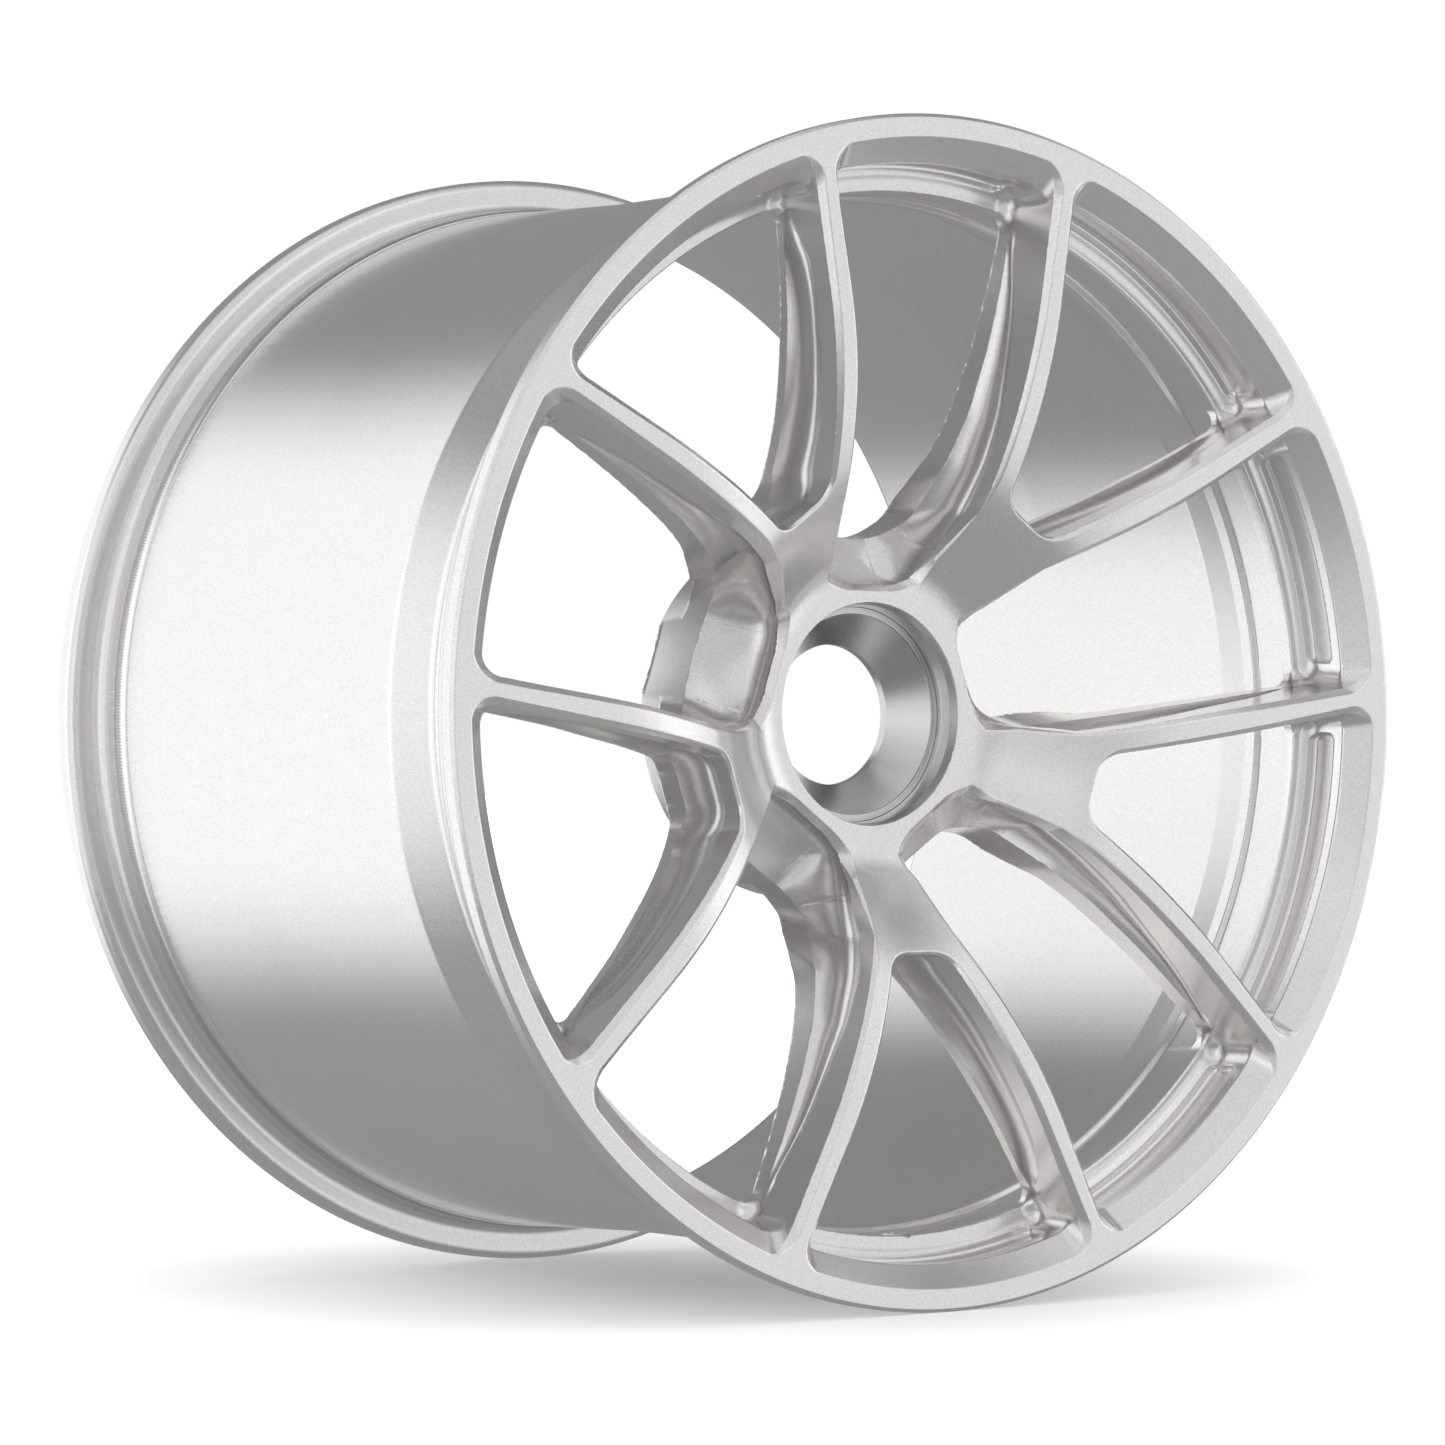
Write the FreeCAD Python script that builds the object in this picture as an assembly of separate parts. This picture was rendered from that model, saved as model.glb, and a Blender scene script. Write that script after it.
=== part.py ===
import FreeCAD, Part
import math
import os

# Forged centre-lock racing wheel, 21 x 13 inches, as a bare wheel on a bench.
# The wheel axis is the Y axis of the finished parts, the front face looks towards -Y, and +Z is up.
# Every function below builds with the axis along Z and the front face up; place() turns it at the end.
# "depth" is the distance behind the flat front face of the rim, in millimetres.

os.makedirs("parts", exist_ok=True)

INCH = 25.4

# rim contour
BEAD_RADIUS = 21 * INCH / 2
BEAD_WIDTH = 13 * INCH
FLANGE_HEIGHT = 17.3
FLANGE_WIDTH = 12.9
FLANGE_RADIUS = BEAD_RADIUS + FLANGE_HEIGHT
OVERALL_WIDTH = BEAD_WIDTH + 2 * FLANGE_WIDTH
FLANGE_CURL_HEIGHT = 8.0
FLANGE_CURL_WIDTH = 5.0
BEAD_SEAT_WIDTH = 20.0
BEAD_TAPER = 1.5
BEAD_CORNER = 6.5
LIP_CHAMFER = 1.9
HUMP_HEIGHT = 0.8
HUMP_WIDTH = 7.0
WELL_RADIUS = 252.0
WELL_START = 63.0
WELL_END = 66.0
BARREL_RADIUS = 260.8
BARREL_START = 88.0
BARREL_FLARE = 215.0
RIM_WALL = 4.4
INNER_WELL_START = 60.5
INNER_WELL_END = 67.5
INNER_BARREL_START = 95.0
REAR_LIP_CHAMFER = (9.0, 5.0)
REAR_SEAT_INSIDE = (45.0, 6.5)
LEDGE_RADIUS = 250.0
LEDGE_FRONT = 34.0
LEDGE_REAR = 59.0
SPOKE_END_FILLET = 4.0

# spoke face, seen in section from the rim to the hub
FACE_BEND_RADIUS = 210.0
FACE_ARC = 202.0
DISH_RADIUS = 107.5
DISH_FOOT = 72.0
ANNULUS_RADIUS = 66.0
ANNULUS_DEPTH = 62.3
COVE_RADIUS = 54.5

FOOT_ROUNDING = 2.0

# hub: a drum with a flat towards each gap, hollowed from both ends
PAD_DEPTH = 129.0
PAD_RADIUS = 90.0
PAD_CHAMFER = 1.5
HUB_FLAT = 86.8
TROUGH_FRONT = (62.0, 65.3)
TROUGH_CHAMFER = 3.0
TROUGH_MIDDLE = (67.0, 88.0)
TROUGH_RIDGE = (86.8, 97.0)
RECESS_RADIUS = 57.5
RECESS_DEPTH = 109.0
INSERT_RADIUS = 52.0
INSERT_FACE_DEPTH = 76.5
INSERT_SHOULDER_DEPTH = 90.0
INSERT_NOSE_RADIUS = 44.0
INSERT_END_DEPTH = 99.0
CONE_MOUTH = (49.0, 78.0)
CONE_THROAT = (34.3, 94.5)
RING_DEPTH = 100.0
RING_RADIUS = 47.0
RING_LEAD = 1.0
RING_GROOVE = 0.6
RING_GROOVE_EDGE = 1.2
HUB_BORE_RADIUS = 42.05
BUSH_CIRCLE_RADIUS = 73.0
BUSH_RADIUS = 11.0
BUSH_BORE_RADIUS = 7.0
BUSH_LENGTH = 25.0
BUSH_LEAD = 1.0

# spokes: five arms, each forking into two legs
ARM_COUNT = 5
ARM_TURN = 360.0 / ARM_COUNT
FIRST_ARM = 54.0
LEG_POINT = (43.0, 154.1)
LEG_SLOPE = 0.4985
FORK_DRAFT = 0.077
GAP_DRAFT = 0.168

# rim side of the windows, as (depth, radius)
WINDOW_RIM = [(-1.0, 274.4), (10.6, 262.0), (25.0, 260.6), (31.4, 257.9),
              (LEDGE_FRONT, LEDGE_RADIUS), (LEDGE_REAR - 2.0, LEDGE_RADIUS)]
WINDOW_CORNER = 9.5
WINDOW_BACK_RADIUS = 242.0
WINDOW_BACK_DEPTH = PAD_DEPTH + 6.0
SLOT_DEPTHS = (16.5, 31.8)
SLOT_WALL_LEAN = 1.0
SLOT_FLOOR_RADIUS = 263.5
FORK_SLOT_ANGLE = 29.0
GAP_SLOT_ANGLE = 22.0

# tyre valve hole
VALVE_DEPTH = 43.0
VALVE_RADIUS = 5.65
VALVE_SPOT_RADIUS = 9.0
VALVE_SPOT_RADIAL = 251.2

AXIS = FreeCAD.Vector(0, 0, 1)
ORIGIN = FreeCAD.Vector(0, 0, 0)


def at(radius, depth):
    """A point of a section through the axis."""
    return FreeCAD.Vector(radius, 0, OVERALL_WIDTH / 2 - depth)


def contour(steps):
    """Edges through (radius, depth) points; a third entry is the middle point of an arc."""
    edges = []
    for start, step in zip(steps, steps[1:]):
        first, end = at(start[0], start[1]), at(step[0], step[1])
        if len(step) == 3:
            edges.append(Part.Arc(first, at(*step[2]), end).toShape())
        else:
            edges.append(Part.makeLine(first, end))
    return edges


def revolved(edges, angle=360.0):
    return Part.Face(Part.Wire(edges)).revolve(ORIGIN, AXIS, angle)


def turned(steps, angle=360.0):
    return revolved(contour(steps + steps[:1]), angle)


def arc_middle(centre, radius, angle):
    """A point of the circle around centre, with angle measured from +radius towards +depth."""
    turn = math.radians(angle)
    return (centre[0] + radius * math.cos(turn), centre[1] + radius * math.sin(turn))


def face_depth(radius):
    """Depth of the spoke face, flat outside FACE_BEND_RADIUS and a large arc inside it."""
    run = FACE_BEND_RADIUS - radius
    return FACE_ARC - math.sqrt(FACE_ARC ** 2 - run ** 2)


def back_depth(radius):
    """Depth of the back of the spokes, which deepens towards the hub."""
    return 34.0 + 53.0 * math.exp(-(radius - 111.0) / 53.1)


def tyre_side():
    """The tyre side of the rim, from the front lip to the rear lip."""
    front_corner = (BEAD_RADIUS + BEAD_CORNER, FLANGE_WIDTH + BEAD_CORNER)
    rear_corner = (front_corner[0], OVERALL_WIDTH - front_corner[1])
    seat_end = FLANGE_WIDTH + BEAD_SEAT_WIDTH
    seat_low = BEAD_RADIUS - BEAD_TAPER
    hump_top = (seat_low + HUMP_HEIGHT, seat_end + 0.4 * HUMP_WIDTH)
    hump_front = (seat_low + 0.7 * HUMP_HEIGHT, seat_end + 0.2 * HUMP_WIDTH)
    curl_depth = FLANGE_WIDTH - FLANGE_CURL_WIDTH
    curl_radius = FLANGE_RADIUS - FLANGE_CURL_HEIGHT
    diagonal = math.sqrt(0.5)
    bulge = (curl_radius + FLANGE_CURL_HEIGHT * diagonal, curl_depth + FLANGE_CURL_WIDTH * diagonal)
    rear_bulge = (bulge[0], OVERALL_WIDTH - bulge[1])
    return [
        (FLANGE_RADIUS - LIP_CHAMFER, 0.0),
        (FLANGE_RADIUS, LIP_CHAMFER),
        (FLANGE_RADIUS, curl_depth),
        (curl_radius, FLANGE_WIDTH, bulge),
        (front_corner[0], FLANGE_WIDTH),
        (BEAD_RADIUS, front_corner[1], arc_middle(front_corner, BEAD_CORNER, 225)),
        (seat_low, seat_end),
        (*hump_top, hump_front),
        (seat_low, seat_end + HUMP_WIDTH),
        (WELL_RADIUS, WELL_START),
        (WELL_RADIUS, WELL_END),
        (BARREL_RADIUS, BARREL_START),
        (BARREL_RADIUS, BARREL_FLARE),
        (seat_low, OVERALL_WIDTH - seat_end),
        (BEAD_RADIUS, rear_corner[1]),
        (rear_corner[0], OVERALL_WIDTH - FLANGE_WIDTH, arc_middle(rear_corner, BEAD_CORNER, 135)),
        (curl_radius, OVERALL_WIDTH - FLANGE_WIDTH),
        (FLANGE_RADIUS, OVERALL_WIDTH - curl_depth, rear_bulge),
        (FLANGE_RADIUS, OVERALL_WIDTH - LIP_CHAMFER),
        (FLANGE_RADIUS - LIP_CHAMFER, OVERALL_WIDTH),
    ]


def barrel_inside():
    """The inner wall of the barrel, from the rear lip forward to the ledge behind the spokes."""
    barrel, well = BARREL_RADIUS - RIM_WALL, WELL_RADIUS - RIM_WALL
    return [
        (FLANGE_RADIUS - FLANGE_CURL_HEIGHT, OVERALL_WIDTH),
        (BEAD_RADIUS - REAR_LIP_CHAMFER[1], OVERALL_WIDTH - REAR_LIP_CHAMFER[0]),
        (BEAD_RADIUS - REAR_SEAT_INSIDE[1], OVERALL_WIDTH - REAR_SEAT_INSIDE[0]),
        (barrel, BARREL_FLARE),
        (barrel, INNER_BARREL_START),
        (well, INNER_WELL_END),
        (well, INNER_WELL_START),
        (LEDGE_RADIUS, LEDGE_REAR),
        (LEDGE_RADIUS, back_depth(LEDGE_RADIUS) + SPOKE_END_FILLET),
    ]


def hub_hollows():
    """The pockets of the hub, from the recess in the mounting pad forward to the front annulus."""
    cove_middle = ((INSERT_RADIUS + COVE_RADIUS) / 2 - 0.6, (ANNULUS_DEPTH + INSERT_FACE_DEPTH) / 2 - 2.0)
    return [
        (PAD_RADIUS - PAD_CHAMFER, PAD_DEPTH),
        (RECESS_RADIUS, PAD_DEPTH),
        (RECESS_RADIUS, RECESS_DEPTH),
        (RING_RADIUS, RECESS_DEPTH),
        (RING_RADIUS, RING_DEPTH),
        (INSERT_NOSE_RADIUS, RING_DEPTH),
        (INSERT_NOSE_RADIUS, INSERT_SHOULDER_DEPTH),
        (INSERT_RADIUS, INSERT_SHOULDER_DEPTH),
        (INSERT_RADIUS, INSERT_FACE_DEPTH),
        (COVE_RADIUS, ANNULUS_DEPTH, cove_middle),
    ]


def spoke_face():
    """The face from the hub's front annulus up the dish to the flat front of the rim."""
    wall_slope = (ANNULUS_DEPTH - face_depth(DISH_RADIUS)) / (DISH_RADIUS - ANNULUS_RADIUS)
    foot_depth = ANNULUS_DEPTH - wall_slope * (DISH_FOOT - ANNULUS_RADIUS) + FOOT_ROUNDING
    foot_middle = ((DISH_FOOT + ANNULUS_RADIUS) / 2, (foot_depth + ANNULUS_DEPTH + FOOT_ROUNDING / 2) / 2)
    arc_mid = (FACE_BEND_RADIUS + DISH_RADIUS) / 2
    return [
        (ANNULUS_RADIUS, ANNULUS_DEPTH),
        (DISH_FOOT, foot_depth, foot_middle),
        (DISH_RADIUS, face_depth(DISH_RADIUS)),
        (FACE_BEND_RADIUS, 0.0, (arc_mid, face_depth(arc_mid))),
    ]


def forging_blank():
    """The full turned shape of the wheel before its windows are milled."""
    rim = tyre_side() + barrel_inside()
    back_radii = [225.0, 200.0, 175.0, 150.0, 132.0, 116.0, 103.0]
    back_radii = [LEDGE_RADIUS - SPOKE_END_FILLET] + back_radii + [PAD_RADIUS]
    back = [(r, back_depth(r)) for r in back_radii]
    pad_edge = [back[-1], (PAD_RADIUS, PAD_DEPTH - PAD_CHAMFER)]
    spine = Part.BSplineCurve()
    spine.interpolate([at(*point) for point in back])
    front = contour(pad_edge + hub_hollows() + spoke_face() + rim[:1])
    return revolved(contour(rim + back[:1]) + [spine.toShape()] + front)


def hub_core():
    """The hub between the arms: a trough behind the annulus, then the drum with its five flats."""
    drum = turned([
        (TROUGH_FRONT[0] - TROUGH_CHAMFER, ANNULUS_DEPTH),
        TROUGH_FRONT,
        (*TROUGH_RIDGE, TROUGH_MIDDLE),
        (PAD_RADIUS, TROUGH_RIDGE[1] + 1.0),
        (PAD_RADIUS, PAD_DEPTH - PAD_CHAMFER),
    ] + hub_hollows())
    corners = []
    for index in range(ARM_COUNT + 1):
        turn = math.radians(FIRST_ARM + index * ARM_TURN)
        reach = HUB_FLAT / math.cos(math.radians(ARM_TURN / 2))
        corners.append(FreeCAD.Vector(reach * math.cos(turn), reach * math.sin(turn), 0))
    prism = Part.Face(Part.makePolygon(corners)).extrude(AXIS * OVERALL_WIDTH)
    return drum.common(prism)


def leg_line(distance, offset):
    """A point beside a leg's centre line: offset to the outside, in the arm's own plane."""
    centre = LEG_POINT[0] + LEG_SLOPE * (distance - LEG_POINT[1])
    return (centre + offset * math.hypot(1, LEG_SLOPE), distance)


def to_gap(point):
    """Turn a point of the arm's plane into the plane of the gap beside the arm."""
    turn = math.radians(ARM_TURN / 2)
    x, y = point
    return (y * math.sin(turn) - x * math.cos(turn), y * math.cos(turn) + x * math.sin(turn))


# Half outlines from the middle of the inner end out past the rim, with the corner radii between.
FORK_CORNERS = [(0.0, 112.0), (18.0, 112.0), leg_line(190.0, -3.8), leg_line(290.0, -1.9)]
FORK_RADII = [16.0, 400.0]
GAP_FOOT = [(0.0, 49.4), (32.3, 49.4)]
GAP_NECK = (18.1, 108.2)
GAP_CORNERS = GAP_FOOT + [to_gap(p) for p in (GAP_NECK, leg_line(190.0, 3.7), leg_line(290.0, 1.9))]
GAP_RADII = [32.0, 24.0, 400.0]


def unit(start, end):
    length = math.dist(start, end)
    return ((end[0] - start[0]) / length, (end[1] - start[1]) / length)


def meet(p, u, q, v):
    """Where the line through p along u meets the line through q along v."""
    cross = u[0] * v[1] - u[1] * v[0]
    along = ((q[0] - p[0]) * v[1] - (q[1] - p[1]) * v[0]) / cross
    return (p[0] + along * u[0], p[1] + along * u[1])


def half_outline(corners, radii, inset, rim_radius):
    """Points and arcs of half a window, inset all round, from its axis to the middle of the rim side."""
    lines = []
    for start, end in zip(corners, corners[1:]):
        u = unit(start, end)
        inward = (-u[1], u[0])
        lines.append(((start[0] + inset * inward[0], start[1] + inset * inward[1]), u))
    path = [("start", (0.0, lines[0][0][1]))]
    for (p, u), (q, v), radius in zip(lines, lines[1:], radii):
        corner = meet(p, u, q, v)
        turn = u[0] * v[1] - u[1] * v[0]
        size = radius - inset if turn > 0 else radius + inset
        angle = math.acos(u[0] * v[0] + u[1] * v[1])
        tangent = size * math.tan(angle / 2)
        first = (corner[0] - tangent * u[0], corner[1] - tangent * u[1])
        last = (corner[0] + tangent * v[0], corner[1] + tangent * v[1])
        side = 1 if turn > 0 else -1
        centre = (first[0] - side * size * u[1], first[1] + side * size * u[0])
        bisector = unit(centre, corner)
        path.append(("line", first))
        path.append(("arc", last, (centre[0] + size * bisector[0], centre[1] + size * bisector[1])))
    p, u = lines[-1]
    inner = (p[0] - WINDOW_CORNER * u[1], p[1] + WINDOW_CORNER * u[0])
    reach = rim_radius - WINDOW_CORNER
    along = inner[0] * u[0] + inner[1] * u[1]
    gap = along ** 2 - (inner[0] ** 2 + inner[1] ** 2 - reach ** 2)
    step = -along + math.sqrt(gap)
    centre = (inner[0] + step * u[0], inner[1] + step * u[1])
    first = (centre[0] + WINDOW_CORNER * u[1], centre[1] - WINDOW_CORNER * u[0])
    scale = rim_radius / reach
    last = (centre[0] * scale, centre[1] * scale)
    towards = unit(centre, ((first[0] + last[0]) / 2, (first[1] + last[1]) / 2))
    middle = (centre[0] + WINDOW_CORNER * towards[0], centre[1] + WINDOW_CORNER * towards[1])
    path.append(("line", first))
    path.append(("arc", last, middle))
    path.append(("arc", (0.0, rim_radius), None))
    return path


def window_wire(corners, radii, inset, rim_radius, depth):
    """The whole window outline at a depth, with the window's axis along +Y."""
    height = OVERALL_WIDTH / 2 - depth

    def point(xy, side):
        return FreeCAD.Vector(side * xy[0], xy[1], height)

    path = half_outline(corners, radii, inset, rim_radius)
    edges = []
    for side in (1, -1):
        last = path[0][1]
        run = []
        for step in path[1:-1]:
            start, end = point(last, side), point(step[1], side)
            if step[0] == "line":
                run.append(Part.makeLine(start, end))
            else:
                run.append(Part.Arc(start, point(step[2], side), end).toShape())
            last = step[1]
        edges.append(run)
    corner = path[-2][1]
    rim = Part.Arc(point(corner, 1), point((0.0, rim_radius), 1), point(corner, -1)).toShape()
    return Part.Wire(edges[0] + [rim] + edges[1][::-1])


def window_cutter(corners, radii, draft):
    """The space of one window: a bevel at the rim, then drafted walls through to the back."""
    stages = [(depth, radius, draft * depth) for depth, radius in WINDOW_RIM]
    back = (WINDOW_BACK_RADIUS, draft * WINDOW_BACK_DEPTH)
    last_depth = WINDOW_RIM[-1][0]
    wires = [window_wire(corners, radii, inset, radius, depth) for depth, radius, inset in stages]
    pieces = [Part.makeLoft([a, b], True, True) for a, b in zip(wires, wires[1:])]
    front_wire = window_wire(corners, radii, draft * last_depth, back[0], last_depth)
    back_wire = window_wire(corners, radii, back[1], back[0], WINDOW_BACK_DEPTH)
    pieces.append(Part.makeLoft([front_wire, back_wire], True, True))
    return pieces[0].multiFuse(pieces[1:])


def rim_slot(width_angle):
    """The shallow lightening slot milled into the rim side of a window, centred on +Y."""
    front, rear = SLOT_DEPTHS
    mouth = LEDGE_RADIUS
    floor_front, floor_rear = front + SLOT_WALL_LEAN, rear - SLOT_WALL_LEAN
    slot = turned([(mouth, front), (SLOT_FLOOR_RADIUS, floor_front), (SLOT_FLOOR_RADIUS, floor_rear),
                   (mouth, rear)], width_angle)
    slot.rotate(ORIGIN, AXIS, 90.0 - width_angle / 2)
    return slot


def valve_hole():
    """The valve hole and its spot face, through the ledge at the bottom of the wheel."""
    start = LEDGE_RADIUS - VALVE_SPOT_RADIUS
    inside = FreeCAD.Vector(0, -start, OVERALL_WIDTH / 2 - VALVE_DEPTH)
    outward = FreeCAD.Vector(0, -1, 0)
    hole = Part.makeCylinder(VALVE_RADIUS, FLANGE_RADIUS - start, inside, outward)
    spot = Part.makeCylinder(VALVE_SPOT_RADIUS, VALVE_SPOT_RADIAL - start, inside, outward)
    return hole.fuse(spot)


def bush_axis(index):
    """The point on the mounting pad at the middle of one drive-pin bush."""
    turn = math.radians(FIRST_ARM + index * ARM_TURN)
    return FreeCAD.Vector(BUSH_CIRCLE_RADIUS * math.cos(turn), BUSH_CIRCLE_RADIUS * math.sin(turn),
                          OVERALL_WIDTH / 2 - PAD_DEPTH)


def wheel_forging():
    """Rim, spokes and hub: one forging, turned and then milled."""
    fork = window_cutter(FORK_CORNERS, FORK_RADII, FORK_DRAFT)
    gap = window_cutter(GAP_CORNERS, GAP_RADII, GAP_DRAFT)
    cutters = []
    for index in range(ARM_COUNT):
        arm = FIRST_ARM + index * ARM_TURN - 90.0
        for shape, turn in ((fork, arm), (rim_slot(FORK_SLOT_ANGLE), arm),
                            (gap, arm + ARM_TURN / 2), (rim_slot(GAP_SLOT_ANGLE), arm + ARM_TURN / 2)):
            copy = shape.copy()
            copy.rotate(ORIGIN, AXIS, turn)
            cutters.append(copy)
    body = forging_blank().cut(cutters)
    body = body.fuse(hub_core())
    holes = [valve_hole()]
    for index in range(ARM_COUNT):
        holes.append(Part.makeCylinder(BUSH_RADIUS, BUSH_LENGTH, bush_axis(index), AXIS))
    return body.cut(holes).removeSplitter()


def nut_seat_insert():
    """The hard cone that the wheel nut clamps on, pressed into the hub from the front."""
    groove_edge = CONE_MOUTH[0] + RING_GROOVE_EDGE
    return turned([
        (INSERT_RADIUS, INSERT_FACE_DEPTH),
        (INSERT_RADIUS, INSERT_SHOULDER_DEPTH),
        (INSERT_NOSE_RADIUS, INSERT_SHOULDER_DEPTH),
        (INSERT_NOSE_RADIUS, INSERT_END_DEPTH),
        (CONE_THROAT[0], INSERT_END_DEPTH),
        CONE_THROAT,
        CONE_MOUTH,
        (CONE_MOUTH[0], INSERT_FACE_DEPTH + RING_GROOVE),
        (groove_edge, INSERT_FACE_DEPTH + RING_GROOVE),
        (groove_edge, INSERT_FACE_DEPTH),
    ])


def centring_ring():
    """The ring that centres the wheel on the hub, let into the floor of the pad's recess."""
    return turned([
        (RING_RADIUS, RING_DEPTH),
        (RING_RADIUS, RECESS_DEPTH),
        (HUB_BORE_RADIUS + RING_LEAD, RECESS_DEPTH),
        (HUB_BORE_RADIUS, RECESS_DEPTH - RING_LEAD),
        (HUB_BORE_RADIUS, RING_DEPTH),
    ])


def drive_pin_bush(index):
    """One hard bush for a drive pin, pressed into the back of an arm."""
    base = bush_axis(index)
    outer = Part.makeCylinder(BUSH_RADIUS, BUSH_LENGTH, base, AXIS)
    bore = Part.makeCylinder(BUSH_BORE_RADIUS, BUSH_LENGTH, base, AXIS)
    mouth = Part.makeCone(BUSH_BORE_RADIUS + BUSH_LEAD, BUSH_BORE_RADIUS, BUSH_LEAD, base, AXIS)
    return outer.cut([bore, mouth])


def place(shape):
    """Turn the shape so that the wheel axis lies along Y with the front face towards -Y."""
    shape.rotate(ORIGIN, FreeCAD.Vector(1, 0, 0), 90)
    return shape


def main():
    parts = {
        "wheel_forging": wheel_forging(),
        "nut_seat_insert": nut_seat_insert(),
        "centring_ring": centring_ring(),
    }
    for index in range(ARM_COUNT):
        parts[f"drive_pin_bush_{index + 1}"] = drive_pin_bush(index)
    for name, shape in parts.items():
        place(shape)
        print(name, shape.ShapeType, len(shape.Solids), "valid", shape.isValid(),
              "volume cm3", round(shape.Volume / 1000, 1))
        shape.exportStep(f"parts/{name}.step")


main()
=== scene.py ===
import math

import bpy
import numpy as np
from mathutils import Matrix, Vector


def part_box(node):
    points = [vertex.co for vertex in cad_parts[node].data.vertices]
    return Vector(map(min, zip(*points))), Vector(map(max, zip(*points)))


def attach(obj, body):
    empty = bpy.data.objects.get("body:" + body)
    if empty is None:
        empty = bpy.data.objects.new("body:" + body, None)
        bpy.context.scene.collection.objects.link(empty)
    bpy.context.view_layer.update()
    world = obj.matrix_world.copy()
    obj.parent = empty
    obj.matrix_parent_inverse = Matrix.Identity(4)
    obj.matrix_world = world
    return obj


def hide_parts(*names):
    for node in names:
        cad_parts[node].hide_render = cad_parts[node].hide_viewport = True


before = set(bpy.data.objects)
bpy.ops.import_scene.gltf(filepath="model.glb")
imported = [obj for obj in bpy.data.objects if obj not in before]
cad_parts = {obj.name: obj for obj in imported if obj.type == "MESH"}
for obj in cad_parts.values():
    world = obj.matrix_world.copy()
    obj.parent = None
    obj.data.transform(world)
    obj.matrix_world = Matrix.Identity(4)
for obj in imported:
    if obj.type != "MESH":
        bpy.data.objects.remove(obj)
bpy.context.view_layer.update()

# Looks of the forged wheel around its CAD frame. The forging is meshed from a distance field: a
# turned blank, less two kinds of window, their side scoops and rim slots. Its field is worked out
# in millimetres, where "depth" runs from the flat front of the rim towards the car, and "radius"
# from the wheel axis.
MM = 0.001
low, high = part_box("wheel_forging")
WIDTH = (high.y - low.y) / MM
FLANGE = high.x / MM
ARM_COUNT = 5
ARM_TURN = 2 * math.pi / ARM_COUNT
FIRST_ARM = math.radians(54)
VALVE_ARM = 3

# rim contour
LIP = 1.9
FLANGE_WIDTH = 12.9
SEAT = 266.7
SEAT_LOW = SEAT - 1.5
SEAT_WIDTH = 32.9
HUMP_HEIGHT, HUMP_TOP, HUMP_END, HUMP_ROUNDING = 0.8, 3, 7, 2.0
WELL, BARREL, WALL = 252.0, 260.8, 4.4
WELL_START, WELL_END, BARREL_START, BARREL_FLARE = 63.0, 66.0, 88.0, 215.0
WELL_START_INSIDE, WELL_END_INSIDE, BARREL_START_INSIDE = 60.5, 67.5, 95.0
FLARE_ROUNDING = 60.0
LEDGE, LEDGE_REAR, LEDGE_FRONT = 250.0, 59.0, 37.9
SPOKE_FOOT, SPOKE_ROOT, BACK_STEPS = 245, 92, 28

# face and hub
FACE_BEND, FACE_ARC = 210.0, 202.0
DISH_RADIUS = 107.5
CONE_SLOPE = 0.866
ANNULUS_DEPTH = 62.3
PAD_RADIUS, PAD_DEPTH = 90.0, 129.0
RECESS_RADIUS, RECESS_DEPTH = 57.5, 109.0
COVE_RADIUS = 54.5
HUB_FLAT = 86.8
FIT_GAP = 0.2
INSERT_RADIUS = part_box("nut_seat_insert")[1].x / MM + FIT_GAP
NOSE_RADIUS, NOSE_FRONT, NOSE_REAR = 44.0 + FIT_GAP, 90.2, 99.8
RING_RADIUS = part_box("centring_ring")[1].x / MM + FIT_GAP
BUSH_CIRCLE, BUSH_RADIUS, BUSH_FRONT = 73.0, 11.05, 104.0
VALVE_DEPTH, VALVE_RADIUS, SPOT_RADIUS, SPOT_HEIGHT = 43.0, 5.65, 9.0, 251.2


def blend_max(a, b, size):
    """The larger of a and b, with the crease between them rounded over about size."""
    overlap = np.maximum(size - np.abs(a - b), 0)
    return np.maximum(a, b) + overlap * overlap / (4 * size)


def blend_min(a, b, size):
    return -blend_max(-a, -b, size)


def round_max(a, b, radius):
    """Where both spaces overlap, with a round corner of that radius between square walls."""
    return np.minimum(np.maximum(a, b), -radius) + np.hypot(
        np.maximum(a + radius, 0), np.maximum(b + radius, 0))


class Outline:
    """A closed outline from (u, v, corner radius) corners: straight edges and true arcs."""

    def __init__(self, corners):
        places = np.array([corner[:2] for corner in corners], float)
        before, after = places - np.roll(places, 1, 0), np.roll(places, -1, 0) - places
        bends = before[:, 0] * after[:, 1] - before[:, 1] * after[:, 0]
        area = np.sum(places[:, 0] * after[:, 1] - places[:, 1] * after[:, 0])
        points, arcs = [], []
        for corner, here, last, coming, bend in zip(corners, places, before, after, bends):
            if corner[2] == 0:
                points.append(here)
                arcs.append((0.0, 0.0, 0.0, 0.0))
                continue
            to_last, to_next = -last / np.linalg.norm(last), coming / np.linalg.norm(coming)
            half = math.acos(np.clip(to_last @ to_next, -1, 1)) / 2
            middle = (to_last + to_next) / np.linalg.norm(to_last + to_next)
            centre = here + middle * corner[2] / math.sin(half)
            first = here + to_last * corner[2] / math.tan(half) - centre
            final = here + to_next * corner[2] / math.tan(half) - centre
            turn = math.pi - 2 * half
            steps = max(1, math.ceil(turn / math.radians(12)))
            for share in np.linspace(0, 1, steps + 1):
                arm = math.sin((1 - share) * turn) * first + math.sin(share * turn) * final
                points.append(centre + arm / math.sin(turn))
                arcs.append((*centre, corner[2], math.copysign(1, bend * area)))
            arcs[-1] = (0.0, 0.0, 0.0, 0.0)
        self.points, self.arcs = np.array(points), np.array(arcs)


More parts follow.
